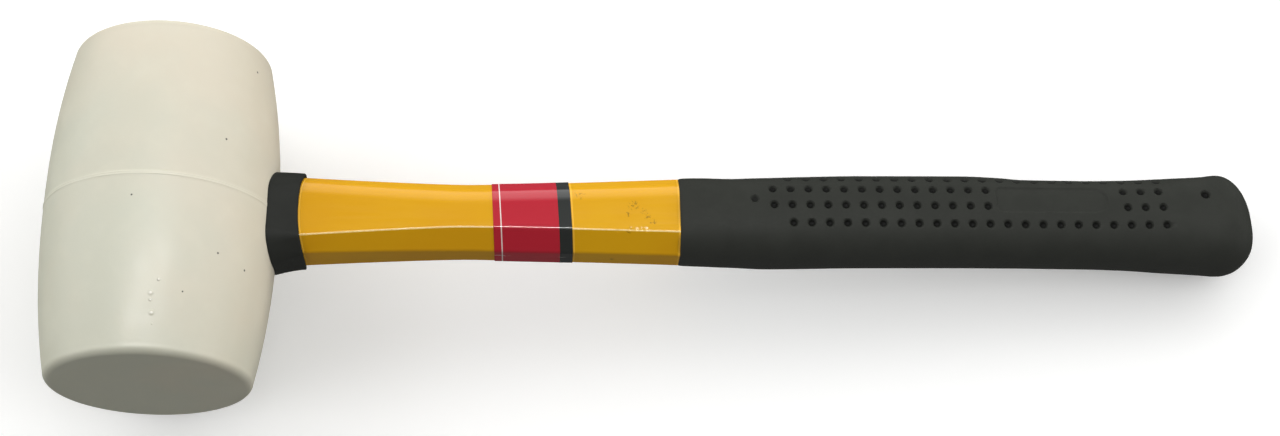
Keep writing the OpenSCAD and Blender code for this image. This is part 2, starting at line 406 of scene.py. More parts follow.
def relief(
    tree: Tree,
    height: Socket,
    strength: float,
    depth: float,
    under: Socket | None = None,
    invert: bool = False,
) -> Socket:
    """Adds a bump.

    Args:
        tree: The material's node tree.
        height: The pattern that stands up.
        strength: How much of the bump shows.
        depth: How high the pattern stands, in millimetres.
        under: The relief that it is laid over, if there is any.
        invert: True to sink the pattern instead.

    Returns:
        The bumped normal's output.
    """
    links = {"Height": height} if under is None else {"Height": height, "Normal": under}
    values = {"Strength": strength, "Distance": depth * MM}
    return add(tree, "Bump", values, links, invert=invert).outputs["Normal"]


def blend(tree: Tree, fac: Socket, base: Socket | str, over: str) -> Socket:
    """Lays one colour over another.

    Args:
        tree: The material's node tree.
        fac: How much of the upper colour shows.
        base: The lower colour: an output, or sRGB hex.
        over: The upper colour, as sRGB hex.

    Returns:
        The mixed colour's output.
    """
    if isinstance(base, str):
        return add(tree, "Mix", {6: linear(base), 7: linear(over)}, {0: fac}, data_type="RGBA").outputs[2]
    return add(tree, "Mix", {7: linear(over)}, {0: fac, 6: base}, data_type="RGBA").outputs[2]


def distance(tree: Tree, where: Socket, spot: Spot) -> Socket:
    """How far the point being shaded is from a mark's middle, in metres."""
    middle = (spot.x * MM, spot.y * MM, spot.z * MM)
    return add(tree, "VectorMath", {1: middle}, {0: where}, operation="DISTANCE").outputs["Value"]


class Finish:
    """A surface finish; material() makes it once and then hands out the same one."""

    name = "finish"
    _made: dict[str, bpy.types.Material] = {}

    def material(self) -> bpy.types.Material:
        """The finish as a Blender material."""
        if self.name not in Finish._made:
            made = bpy.data.materials.new(self.name)
            made.use_nodes = True
            tree = made.node_tree
            tree.nodes.clear()
            shader = add(tree, "BsdfPrincipled")
            add(tree, "OutputMaterial", links={"Surface": shader.outputs["BSDF"]})
            self.dress(tree, shader, add(tree, "TexCoord").outputs["Object"])
            Finish._made[self.name] = made
        return Finish._made[self.name]

    def dress(self, tree: Tree, shader: Node, where: Socket) -> None:
        """Adds the finish's own nodes and settings.

        Args:
            tree: The material's node tree.
            shader: Its Principled shader.
            where: The point being shaded, in the piece's own axes.
        """
        raise NotImplementedError


@dataclass(frozen=True)
class Spot:
    """A small round mark on a surface, in the handle's axes."""

    x: float
    y: float
    z: float
    radius: float

    def mask(self, tree: Tree, where: Socket, core: float) -> Socket:
        """Builds a mask that is 1 in the mark and 0 outside it.

        Args:
            tree: The material's node tree.
            where: The point being shaded, in the piece's own axes.
            core: Share of the radius that is fully marked.

        Returns:
            The mask's output.
        """
        return remap(tree, distance(tree, where, self), core * self.radius * MM, self.radius * MM, 1.0, 0.0)


@dataclass(frozen=True)
class Line:
    """A thin line round the handle, in millimetres.

    It lies at distance x in the middle, slants with Y, and bows by a given amount at the
    handle's sides.
    """

    x: float
    slant: float
    bow: float
    width: float
    side: float = 12.5

    def mask(self, tree: Tree, where: Socket) -> Socket:
        """Builds a mask that is 1 on the line and 0 beside it."""
        axes = add(tree, "SeparateXYZ", links={0: where}).outputs
        square = calc(tree, "MULTIPLY", axes["Y"], axes["Y"])
        bowed = calc(tree, "MULTIPLY_ADD", square, -self.bow * MM / (self.side * MM) ** 2, axes["X"])
        slanted = calc(tree, "MULTIPLY_ADD", axes["Y"], self.slant, bowed)
        gap = calc(tree, "ABSOLUTE", calc(tree, "SUBTRACT", slanted, self.x * MM))
        return remap(tree, gap, 0.3 * self.width * MM, 0.6 * self.width * MM, 1.0, 0.0)


@dataclass(frozen=True)
class MouldedWhiteRubber(Finish):
    """Vulcanised white rubber, compression moulded.

    The filler gives it a warm chalky white with faint clouding; its tone is painted cooler at
    the near face and away from the handle, and warmer and a little lighter towards the handle
    and the far face, where the light comes from. A few dark grains of dirt are pressed in. The
    mould leaves an eggshell gloss, a paler line of flash round the belly, and nicks that carry
    painted highlights.
    """

    name: str = "moulded white rubber"
    cool: str = "#c8c8b6"
    warm: str = "#d1c9b5"
    flash: str = "#e2dfcc"
    dirt: str = "#3e3b33"
    # colour of the highlights painted on the nicks
    painted_glint: str = "#fbf8ee"
    # painted light: how fast the tone grows warmer and lighter along X and Y, towards the lit side, per metre
    lit_side_drift: tuple[float, float, float] = (9.0, 5.0, 0.0)
    ior: float = 1.52
    roughness: float = 0.52
    seam_width: float = 1.2
    grains: tuple[Spot, ...] = (
        Spot(25.9, 39.7, 13.7, 0.42), Spot(20.3, 13.4, 24.6, 0.4), Spot(-2.2, -6.6, 32.1, 0.34),
        Spot(20.2, -20.1, 24.3, 0.38), Spot(26.4, -22.2, 17.1, 0.4), Spot(12.3, -32.4, 27.7, 0.3),
        Spot(-24.0, 8.0, 20.6, 0.36), Spot(-18.5, -31.0, -24.0, 0.4), Spot(8.0, 26.0, -30.3, 0.36),
    )
    nicks: tuple[Spot, ...] = (
        Spot(6.3, -29.9, 30.0, 0.5), Spot(4.5, -33.5, 29.9, 0.9), Spot(5.0, -38.7, 29.0, 0.9),
        Spot(4.5, -35.4, 29.6, 0.5), Spot(5.2, -41.6, 28.2, 0.4),
    )

    def dress(self, tree: Tree, shader: Node, where: Socket) -> None:
        """Adds clouding, painted lit-side tone, dirt, flash, nicks with painted highlights and a soft moulded
        bump.
        """
        cloud = noise(tree, where, Grain.CLOUD.value, 2.0)
        patch = noise(tree, where, Grain.PATCH.value, 3.0)
        # painted light: the tone runs warmer and lighter towards +X and +Y, where the light comes from
        lit_side_drift = add(tree, "VectorMath", {1: self.lit_side_drift}, {0: where}, operation="DOT_PRODUCT")
        tone = calc(tree, "ADD", cloud, lit_side_drift.outputs["Value"])
        colour = blend(tree, remap(tree, tone, 0.2, 0.85), self.cool, self.warm)
        colour = blend(tree, remap(tree, patch, 0.45, 0.8, 0.0, 0.14), colour, self.flash)
        along = add(tree, "SeparateXYZ", links={0: where}).outputs["Y"]
        half = self.seam_width / 2 * MM
        seam = remap(tree, calc(tree, "ABSOLUTE", along), 0.6 * half, 0.9 * half, 0.3, 0.0)
        colour = blend(tree, seam, colour, self.flash)
        for grain in self.grains:
            colour = blend(tree, grain.mask(tree, where, 0.5), colour, self.dirt)
        gloss = remap(tree, patch, 0.3, 0.7, self.roughness - 0.05, self.roughness + 0.06)
        normal = relief(tree, noise(tree, where, Grain.SPECKLE.value, 2.0), 0.5, 0.02)
        normal = relief(tree, patch, 0.7, 0.1, normal)
        for nick in self.nicks:
            mask = nick.mask(tree, where, 0.05)
            normal = relief(tree, mask, 1.0, 0.22, normal)
            # painted highlight: each nick is painted pale in its middle
            colour = blend(tree, remap(tree, mask, 0.45, 0.85, 0.0, 0.85), colour, self.painted_glint)
            gloss = calc(tree, "MULTIPLY", gloss, remap(tree, mask, 0.0, 0.5, 1.0, 0.35))
        plug(tree, shader, {
            "IOR": self.ior, "Coat Weight": 0.05, "Coat Roughness": 0.22, "Subsurface Weight": 0.05,
            "Subsurface Radius": (1.0, 0.8, 0.55), "Subsurface Scale": 1.0 * MM,
        }, {"Base Color": colour, "Roughness": gloss, "Normal": normal})


@dataclass(frozen=True)
class InjectedYellowPlastic(Finish):
    """Yellow polypropylene, injection moulded in a polished tool.

    It is a deep warm yellow with a clear gloss, and a thin pale highlight is painted along
    the two sharp creases. It has a faint flow mottle, hairline scratches, dark scuffs beside
    the grip, and thin painted glow stripes where the rubber parts and the film end.
    """

    name: str = "injection-moulded yellow polypropylene"
    yellow: str = "#e0a711"
    deep: str = "#dca010"
    # colour of the glow painted on the jacket at the collar, the film's far end and the grip
    painted_edge_glow: str = "#ffc23c"
    # colour of the highlight painted along the sharp crease
    crease_highlight: str = "#ffe9a0"
    scuff: str = "#7a5a12"
    ior: float = 1.49
    specular: float = 0.3
    roughness: float = 0.19
    rub_size: float = 0.75
    hair_size: float = 0.8
    hair_draw: float = 25.0
    lines: tuple[Line, ...] = ()
    scuffs: tuple[Spot, ...] = (
        Spot(117.6, 4.3, 8.9, 1.6), Spot(116.2, 4.8, 8.9, 1.0), Spot(132.4, 1.2, 8.9, 1.9),
        Spot(130.9, -1.6, 8.9, 1.0), Spot(135.2, -0.6, 9.0, 1.1), Spot(136.4, -2.2, 9.0, 1.3),
        Spot(137.8, -3.9, 9.0, 1.2), Spot(131.1, -6.5, 8.6, 1.0), Spot(126.7, -11.3, -0.4, 1.0),
    )
    dents: tuple[Spot, ...] = (
        Spot(135.9, -6.3, 8.9, 0.9), Spot(133.1, -6.3, 8.9, 0.8), Spot(127.8, -6.6, 8.6, 0.7),
        Spot(131.4, -6.0, 8.9, 0.6), Spot(134.4, -6.1, 8.9, 0.7),
    )

    def dress(self, tree: Tree, shader: Node, where: Socket) -> None:
        """Adds flow clouding, painted glow stripes, a painted crease highlight, scuffs, dents and scratches.
        """
        cloud = noise(tree, where, Grain.CLOUD.value, 2.0)
        colour = blend(tree, remap(tree, cloud, 0.35, 0.65), self.yellow, self.deep)
        rub = noise(tree, where, self.rub_size, 4.0, 0.7)
        torn = remap(tree, rub, 0.52, 0.6, 0.0, 0.85)
        for spot in self.scuffs:
            mark = calc(tree, "MULTIPLY", spot.mask(tree, where, 0.4), torn)
            colour = blend(tree, mark, colour, self.scuff)
        # painted glow: a pale stripe on the jacket at each part edge
        for line in self.lines:
            colour = blend(tree, line.mask(tree, where), colour, self.painted_edge_glow)
        # the sharp crease gets a pale highlight painted along it, a little unevenly
        crease = add(tree, "Attribute", attribute_name=CREASE_HIGHLIGHT).outputs["Fac"]
        worn = calc(tree, "MULTIPLY", crease, remap(tree, rub, 0.3, 0.6, 0.4, 0.9))
        colour = blend(tree, worn, colour, self.crease_highlight)
        # hairline scratches, drawn out along the handle
        drawn_out = add(tree, "Mapping", {"Scale": (1 / self.hair_draw, 1, 1)}, {"Vector": where})
        hair = noise(tree, drawn_out.outputs[0], self.hair_size, 2.0)
        gloss = remap(tree, hair, 0.35, 0.75, self.roughness - 0.02, self.roughness + 0.05)
        normal = relief(tree, hair, 0.3, 0.003)
        normal = relief(tree, cloud, 0.5, 0.12, normal)
        for dent in self.dents:
            normal = relief(tree, dent.mask(tree, where, 0.05), 1.0, 0.15, normal, invert=True)
        plug(tree, shader, {"IOR": self.ior, "Specular IOR Level": self.specular},
             {"Base Color": colour, "Roughness": gloss, "Normal": normal})


@dataclass(frozen=True)
class MouldedBlackRubber(Finish):
    """Black thermoplastic rubber, moulded over the handle.

    It is a soft greenish charcoal, matt but with a faint grey sheen where it faces the
    light, and has the fine tooth of a spark-eroded mould.
    """

    name: str = "moulded black thermoplastic rubber"
    black: str = "#1e201c"
    worn: str = "#252722"
    # colour of the painted shade down the dimples and the mould mark
    pit_shade: str = "#10110f"
    # colour of the painted glow
    painted_glow: str = "#eef0ea"
    ior: float = 1.5
    roughness: float = 0.55
    sheen_level: float = 0.07
    # a faint painted glow, from no lamp, lifts the shaded sides out of full black
    painted_glow_level: float = 0.0145

    def dress(self, tree: Tree, shader: Node, where: Socket) -> None:
        """Adds tone patches, painted shade down the sunk marks, a faint painted glow that fades out there,
        and a fine tooth to the bump and the gloss.
        """
        patch = noise(tree, where, Grain.PATCH.value, 4.0)
        tooth = noise(tree, where, Grain.TOOTH.value, 3.0)
        # painted shade: the deeper down a sunk mark, the darker, and the painted glow fades there
        pit_shade = add(tree, "Attribute", attribute_name=PIT_SHADE).outputs["Fac"]
        colour = blend(tree, remap(tree, patch, 0.35, 0.7), self.black, self.worn)
        plug(tree, shader, {
            "Emission Color": linear(self.painted_glow), "IOR": self.ior, "Specular IOR Level": self.sheen_level,
        }, {
            "Base Color": blend(tree, pit_shade, colour, self.pit_shade),
            "Emission Strength": remap(tree, pit_shade, 0.0, 0.6, self.painted_glow_level, 0.0),
            "Roughness": remap(tree, tooth, 0.3, 0.7, self.roughness - 0.05, self.roughness + 0.08),
            "Normal": relief(tree, tooth, 0.6, 0.03),
        })


@dataclass(frozen=True)
class PrintedFilm(Finish):
    """Printed vinyl film under a clear gloss layer.

    It has a saturated red field, a hairline white rule near one edge and a black band
    along the other. Its wet gloss catches the light at the creases, and short white arcs are
    painted on the near side as highlights on small puckers in the film.
    """

    name: str = "printed vinyl film"
    red: str = "#bb2233"
    white: str = "#f2e9e4"
    black: str = "#2c2f2d"
    ior: float = 1.5
    specular: float = 0.4
    roughness: float = 0.16
    rule: Line = Line(94.95, 0.055, 0.0, 0.32)
    # where the black band starts, and how it slants with Y
    band: Point = (111.15, 0.055)
    # each painted highlight: a short white arc on the near side, as its circle's middle and radius
    painted_highlight_arcs: tuple[Spot, ...] = (
        Spot(94.6, -11.2, -2.4, 3.6), Spot(97.4, -11.2, 4.6, 3.7),
        Spot(112.4, -11.6, 4.8, 4.2), Spot(113.6, -11.6, 6.0, 4.4),
    )
    wrinkle_middle: float = 1.2
    wrinkle_reach: float = 2.3
    wrinkle_width: float = 0.14
    highlight_arc_level: float = 0.6
    peel_size: float = 2.4

    def dress(self, tree: Tree, shader: Node, where: Socket) -> None:
        """Prints the bands across the handle and adds painted highlight arcs and a slight orange peel."""
        axes = add(tree, "SeparateXYZ", links={0: where}).outputs
        colour = blend(tree, self.rule.mask(tree, where), self.red, self.white)
        start, slant = self.band
        leaned = calc(tree, "MULTIPLY_ADD", axes["Y"], slant, axes["X"])
        colour = blend(tree, calc(tree, "GREATER_THAN", leaned, start * MM), colour, self.black)
        # painted highlights: short white arcs on the near side of the film
        for wrinkle in self.painted_highlight_arcs:
            gap = distance(tree, where, wrinkle)
            arc = calc(tree, "COMPARE", gap, wrinkle.radius * MM, self.wrinkle_width * MM)
            height = math.copysign(self.wrinkle_middle, self.wrinkle_middle - wrinkle.z)
            near = Spot(wrinkle.x, wrinkle.y, height, self.wrinkle_reach).mask(tree, where, 0.5)
            mark = calc(tree, "MULTIPLY", calc(tree, "MULTIPLY", arc, near), self.highlight_arc_level)
            colour = blend(tree, mark, colour, self.white)
        plug(tree, shader, {
            "IOR": self.ior, "Specular IOR Level": self.specular, "Roughness": self.roughness,
            "Coat Weight": 0.2, "Coat Roughness": 0.08,
        }, {"Base Color": colour, "Normal": relief(tree, noise(tree, where, self.peel_size, 1.0), 0.4, 0.02)})


@dataclass(frozen=True)
class CuredAdhesive(Finish):
    """Two-part adhesive, poured and left to cure: a dull amber with small bubbles."""

    name: str = "cured adhesive"
    amber: str = "#c9b27a"
    milky: str = "#d9cba0"
    ior: float = 1.55
    roughness: float = 0.4
    bubble_size: float = 1.4

    def dress(self, tree: Tree, shader: Node, where: Socket) -> None:
        """Adds milky patches and bubbles."""
        patch = noise(tree, where, Grain.PATCH.value, 3.0)
        bubble = add(tree, "TexVoronoi", {"Scale": 1 / (self.bubble_size * MM)}, {"Vector": where})
        plug(tree, shader, {"IOR": self.ior, "Roughness": self.roughness}, {
            "Base Color": blend(tree, patch, self.amber, self.milky),
            "Normal": relief(tree, bubble.outputs["Distance"], 0.5, 0.2),
        })


@dataclass(frozen=True)
class PultrudedGlassFibre(Finish):
    """Glass fibre drawn through resin: pale and satin, with strands along its length."""

    name: str = "pultruded glass fibre"
    resin: str = "#d8cfa4"
    strand: str = "#e9e4cd"
    ior: float = 1.52
    roughness: float = 0.35
    strand_size: float = 0.4
    strand_draw: float = 40.0

    def dress(self, tree: Tree, shader: Node, where: Socket) -> None:
        """Adds strands that run along the rod."""
        drawn_out = add(tree, "Mapping", {"Scale": (1 / self.strand_draw, 1, 1)}, {"Vector": where})
        strands = noise(tree, drawn_out.outputs[0], self.strand_size, 3.0)
        plug(tree, shader, {"IOR": self.ior, "Roughness": self.roughness},
             {"Base Color": blend(tree, strands, self.resin, self.strand)})


@dataclass(frozen=True)
class PaleTable(Finish):
    """Matt white acrylic, lit a little from below, which softens the shadows on it."""

    name: str = "matt white acrylic"
    white: str = "#f8f8f7"
    roughness: float = 0.9
    specular: float = 0.1
    glow: float = 0.2

    def dress(self, tree: Tree, shader: Node, where: Socket) -> None:
        """Sets a plain matt white with a faint glow."""
        plug(tree, shader, {
            "Base Color": linear(self.white), "Roughness": self.roughness,
            "Specular IOR Level": self.specular, "Emission Color": linear(self.white),
            "Emission Strength": self.glow,
        })


# ------------------------------------------------------------------ the mallet's pieces


@dataclass
class Head:
    """The barrel-shaped rubber head, with its seam and the eye for the handle."""

    face_r: float = 27.5
    belly_r: float = 32.2
    length: float = 98.4
    fullness: float = 2.22
    edge_r: float = 2.2
    seam_w: float = 1.2
    seam_h: float = 0.15
    # across half the seam: share of its half width, and how far below its crest
    seam_profile: tuple[Point, ...] = ((0.0, 0.06), (0.15, 0.06), (0.4, 0.02), (0.55, 0.0), (0.7, 0.03))
    # its foot: share of its half width, and height above the barrel
    seam_foot: Point = (0.92, 0.05)
    # how its height wavers round the barrel: its mean, and each wave's size, count and phase
    seam_level: float = 0.75
    seam_waves: tuple[tuple[float, float, float], ...] = ((0.15, 5.0, 0.7), (0.1, 13.0, 2.1))
    eye_half_w: float = 10.3
    eye_half_h: float = 7.8
    # the eye's open end: distance in from the belly, and how much wider it is there
    eye_mouth: tuple[Point, ...] = ((-3.0, 2.6), (0.1, 0.9), (0.7, 0.35), (1.6, 0.0))
    eye_overrun: float = 3.0
    around: int = 288
    steps: int = 70
    edge_steps: int = 10
    face_rings: tuple[float, ...] = (0.98, 0.85, 0.6, 0.3, 0.05)
    finish: MouldedWhiteRubber = field(default_factory=MouldedWhiteRubber)

    def radius(self, y: float | np.ndarray) -> Any:
        """The barrel's radius at one distance from its middle, or at each of an array."""
        return self.belly_r - (self.belly_r - self.face_r) * abs(2 * y / self.length) ** self.fullness

    def surface_x(self, y: np.ndarray, z: np.ndarray) -> np.ndarray:
        """How far out the barrel's handle side lies at each (y, z)."""
        return np.sqrt(np.maximum(self.radius(y) ** 2 - z * z, 0))

    def outline(self) -> list[Point]:
        """(radius, y) from the middle of the barrel to the middle of its far face."""
        crest = self.belly_r + self.seam_h
        half = self.seam_w / 2
        points: list[Point] = [(crest - drop, share * half) for share, drop in self.seam_profile]
        points.append((self.radius(half) + self.seam_foot[1], self.seam_foot[0] * half))
        end = self.length / 2 - self.edge_r
        points += [(self.radius(y), float(y)) for y in np.linspace(half * 1.15, end, self.steps)]
        rim = self.radius(end)
        for k in range(1, self.edge_steps + 1):
            turn = math.pi / 2 * k / self.edge_steps
            points.append((rim - self.edge_r * (1 - math.cos(turn)), end + self.edge_r * math.sin(turn)))
        flat = rim - self.edge_r
        points += [(flat * share, self.length / 2) for share in self.face_rings]
        return points

    def build(self) -> bpy.types.Object:
        """Turns the barrel and cuts its eye."""
        half = self.outline()
        whole = [(r, -y) for r, y in half[:0:-1]] + half
        turns = np.linspace(0, 2 * math.pi, self.around, endpoint=False)
        ragged = np.full(self.around, self.seam_level)
        for size, count, phase in self.seam_waves:
            ragged += size * np.sin(count * turns + phase)
        rings: list[Ring] = []
        for r, y in whole:
            plain = self.radius(y)
            reach = plain + (r - plain) * ragged if r > plain else np.full(self.around, r)
            level = np.full(self.around, y)
            rings.append(np.column_stack([reach * np.cos(turns), level, reach * np.sin(turns)]))
        barrel = skin("barrel_head", rings)
        angles = np.linspace(-math.pi, math.pi, 96, endpoint=False)
        flare = [(inward - self.belly_r, grow) for inward, grow in self.eye_mouth]
        flare.append((self.belly_r + self.eye_overrun, 0.0))
        cutter = skin("eye_cutter", [
            ring(x, obround_at(angles, self.eye_half_w + grow, self.eye_half_h + grow)) for x, grow in flare
        ])
        carve(barrel, cutter)
        barrel.data.set_sharp_from_angle(angle=math.radians(32))
        return barrel


@dataclass
class Jacket:
    """The eight-sided plastic jacket, with the plain bar that runs into head and grip."""

    start: float = 36.6
    end: float = 145.6
    waist: float = 86.0
    waist_half_w: float = 10.2
    waist_half_h: float = 8.7
    front_flare: float = 1.45
    rear_flare: float = 1.65
    end_swell: float = 0.3
    front_power: float = 1.5
    rear_power: float = 1.3
    # the whole neck leans a little to the near side, less so at the grip
    lean: tuple[float, float] = (-0.5, -0.2)
    lean_from: float = 100.0
    flat: float = 5.1
    flat_front: tuple[float, float] = (3.6, 4.0)
    flat_run: float = 45.0
    crease_r: float = 1.0
    soft_crease_r: float = 7.5
    side_r: float = 1.6
    chamfer: float = 0.35
    ring_step: float = 1.4
    bar_half_w: float = 9.5
    bar_half_h: float = 7.0
    bar_start: float = -28.5
    bar_end: float = 298.2
    core_r: float = 5.5
    core_end: float = 294.2
    arc: int = 10
    side_points: int = 3
    # the finish paints glow stripes at the collar's rim, the film's far end and the grip's start
    finish: InjectedYellowPlastic = field(
        default_factory=lambda: InjectedYellowPlastic(
            lines=(Line(39.05, 0.0, 1.6, 0.45), Line(115.1, 0.055, 0.0, 0.5), Line(145.3, 0.0, 0.0, 0.5))
        )
    )

    def shift(self, x: float) -> float:
        """How far the jacket lies to the far side at a distance along the handle."""
        return float(np.interp(x, (self.lean_from, self.end), self.lean))

    def half_w(self, x: float) -> float:
        """Half the jacket's width at a distance along the handle."""
        if x > self.waist:
            share = (x - self.waist) / (self.end - self.waist)
            return self.waist_half_w + self.rear_flare * share**self.rear_power
        share = (self.waist - x) / (self.waist - self.start)
        return self.waist_half_w + self.front_flare * share**self.front_power

    def half_h(self, x: float) -> float:
        """Half the jacket's thickness at a distance along the handle."""
        span = self.end - self.waist if x > self.waist else self.waist - self.start
        return self.waist_half_h + self.end_swell * abs(x - self.waist) / span

    def section(self, x: float, grow: float = 0.0) -> list[Point]:
        """The rounded eight-sided section.

        Args:
            x: Distance along the handle.
            grow: How far every side is moved out.

        Returns:
            (y, z) points in order.
        """
        a, h = self.half_w(x), self.half_h(x)
        run = min(1.0, max(0.0, (self.start + self.flat_run - x) / self.flat_run))
        fy, fz = (self.flat + (front - self.flat) * run for front in self.flat_front)
        slant = math.hypot(fy, fz)
        fy, fz = fy + grow * (1 - (slant - fy) / fz), fz + grow * (1 - (slant - fz) / fy)
        a, h = a + grow, h + grow
        corners = both_halves([(a, h - fz), (a - fy, h), (fy - a, h), (-a, h - fz)])
        side, crease, soft = (r + grow for r in (self.side_r, self.crease_r, self.soft_crease_r))
        outline = rounded_polygon(corners, [side, soft, crease, side] * 2, self.arc, self.side_points)
        return [(y + self.shift(x), z) for y, z in outline]

    def build(self) -> bpy.types.Object:
        """Lofts bore, bar and jacket as one closed moulding."""
        angles = angles_of(self.section(self.start))
        circle = [(self.core_r * math.cos(t), self.core_r * math.sin(t)) for t in angles]
        bar = obround_at(angles, self.bar_half_w, self.bar_half_h)
        xs = [*np.arange(self.start, self.end, self.ring_step)[1:], self.end]
        rings = [ring(self.core_end, circle), ring(self.bar_start, circle)]
        rings += [ring(self.bar_start, bar), ring(self.start, bar)]
        rings += [ring(self.start, self.section(self.start, -self.chamfer))]
        rings += [ring(self.start + self.chamfer, self.section(self.start))]
        rings += [ring(x, self.section(x)) for x in xs]
        rings += [ring(self.end, bar), ring(self.bar_end, bar)]
        piece = skin("handle_jacket", rings)
        # marks the middle of each sharp crease, where the finish paints a highlight
        share = np.zeros((len(rings), len(angles)))
        for corner in (2, 6):
            first = corner * (self.arc + self.side_points) + self.arc // 2 - 2
            share[5:-2, first:first + 4] = 1.0
        mark = piece.data.attributes.new(CREASE_HIGHLIGHT, "FLOAT", "POINT")
        mark.data.foreach_set("value", share.ravel())
        even_normals(piece)
        return piece


@dataclass
class Collar:
    """The rubber boot between the head and the jacket; its foot is saddled to the barrel."""

    head: Head
    jacket: Jacket
    rim: float = 38.75
    rim_bow: float = 1.6
    rim_half_w: float = 12.5
    rim_half_h: float = 9.85
    flare: float = 1.05
    # how much further the foot reaches on the near side
    near_flare: float = 1.3
    flat: float = 4.0
    foot_flat: float = 4.6
    foot_flat_back: float = 6.2
    rim_corner_r: float = 2.0
    foot_corner_r: float = 8.0
    edge_r: float = 0.5
    pocket_gap: float = 0.3
    foot_gap: float = 0.04
    foot_tuck: float = 0.15
    lip_width: float = 0.15
    lip_depth: float = 0.2
    steps: int = 16
    edge_steps: int = 5
    finish: MouldedBlackRubber = field(
        default_factory=lambda: MouldedBlackRubber(black="#161814", worn="#1c1e1a", painted_glow_level=0.0115)
    )

    def section(self, share: float, grow: float = 0.0) -> list[Point]:
        """The rounded eight-sided section.

        Args:
            share: 0 at the foot, 1 at the rim.
            grow: How far every side is moved out.

        Returns:
            (y, z) points in order.
        """
        grow += self.flare * (1 - share)
        a, h = self.rim_half_w + grow, self.rim_half_h + grow
        f = self.flat + (self.foot_flat - self.flat) * (1 - share)
        back = self.flat + (self.foot_flat_back - self.flat) * (1 - share)
        near = a + self.near_flare * (1 - share) ** 2
        corners = both_halves([(a, h - f), (a - back, h), (f - a, h), (-near, h - f)])
        radius = self.rim_corner_r + (self.foot_corner_r - self.rim_corner_r) * (1 - share)
        lean = self.jacket.lean[0]
        return [(y + lean, z) for y, z in rounded_polygon(corners, [radius] * 8, arc=10, flat=3)]

    def foot(self, section: Sequence[Point]) -> np.ndarray:
        """Where the barrel's surface lies under each point of a section."""
        yz = np.asarray(section)
        return self.head.surface_x(yz[:, 0], yz[:, 1]) + self.foot_gap

    def rim_x(self, section: Sequence[Point]) -> np.ndarray:
        """Where the rim lies over each point: it bows back at both sides."""
        return self.rim + self.rim_bow * (np.asarray(section)[:, 0] / self.rim_half_w) ** 2

    def build(self) -> bpy.types.Object:
        """Lofts the boot from its foot over the rim into the pocket and back."""
        rings: list[Ring] = []
        base = self.section(0.0)
        for share in [0.0, 0.04] + list(np.linspace(0.12, 1.0, self.steps)):
            section = self.section(share, -self.foot_tuck if share == 0 else 0.0)
            low, high = self.foot(base if share else section), self.rim_x(section) - self.edge_r
            rings.append(ring(low + (high - low) * share, section))
        for k in range(1, self.edge_steps + 1):
            turn = math.pi / 2 * k / self.edge_steps
            section = self.section(1.0, -self.edge_r * (1 - math.cos(turn)))
            rings.append(ring(self.rim_x(section) - self.edge_r * (1 - math.sin(turn)), section))
        pocket = self.jacket.section(self.jacket.start, self.pocket_gap)
        lip = self.jacket.section(self.jacket.start, self.pocket_gap + self.lip_width)
        bar = obround_at(angles_of(pocket), self.jacket.bar_half_w, self.jacket.bar_half_h)
        rings += [ring(self.rim_x(lip), lip), ring(self.rim_x(pocket) - self.lip_depth, pocket)]
        rings += [ring(self.jacket.start, pocket), ring(self.jacket.start, bar), ring(self.foot(bar), bar)]
        piece = skin("collar_boot", rings, looped=True)
        even_normals(piece)
        return piece


@dataclass
class Label:
    """The printed film wrapped once round the jacket."""

    jacket: Jacket
    start: float = 92.8
    length: float = 22.0
    thickness: float = 0.2
    slant: tuple[float, float] = (0.045, 0.055)
    soft_edge: float = 0.1
    finish: PrintedFilm = field(default_factory=PrintedFilm)

    def wrap(self, share: float, grow: float) -> Ring:
        """One turn round the jacket.

        Args:
            share: 0 at the label's edge near the head, 1 at its far edge.
            grow: How far it stands off the jacket.

        Returns:
            The ring's points.
        """
        x = self.start + self.length * share
        section = self.jacket.section(x, grow)
        lean = self.slant[0] + (self.slant[1] - self.slant[0]) * share
        return ring(x - lean * np.asarray(section)[:, 0], section)

    def build(self) -> bpy.types.Object:
        """Wraps the film as a thin closed tube with softened edges."""
        edge = self.soft_edge / self.length
        shares = [edge, *np.linspace(0, 1, 18)[1:-1], 1 - edge]
        outer = [self.wrap(edge / 3, 0.6 * self.thickness)]
        outer += [self.wrap(share, self.thickness) for share in shares]
        outer += [self.wrap(1 - edge / 3, 0.6 * self.thickness)]
        inner = [self.wrap(share, 0.01) for share in [1.0, *shares[::-1], 0.0]]
        piece = skin("label_wrap", outer + inner, looped=True)
        even_normals(piece)
        return piece


@dataclass(frozen=True)
class Mark:
    """One round mark sunk into the grip."""

    x: float
    y: float
    radius: float
    depth: float


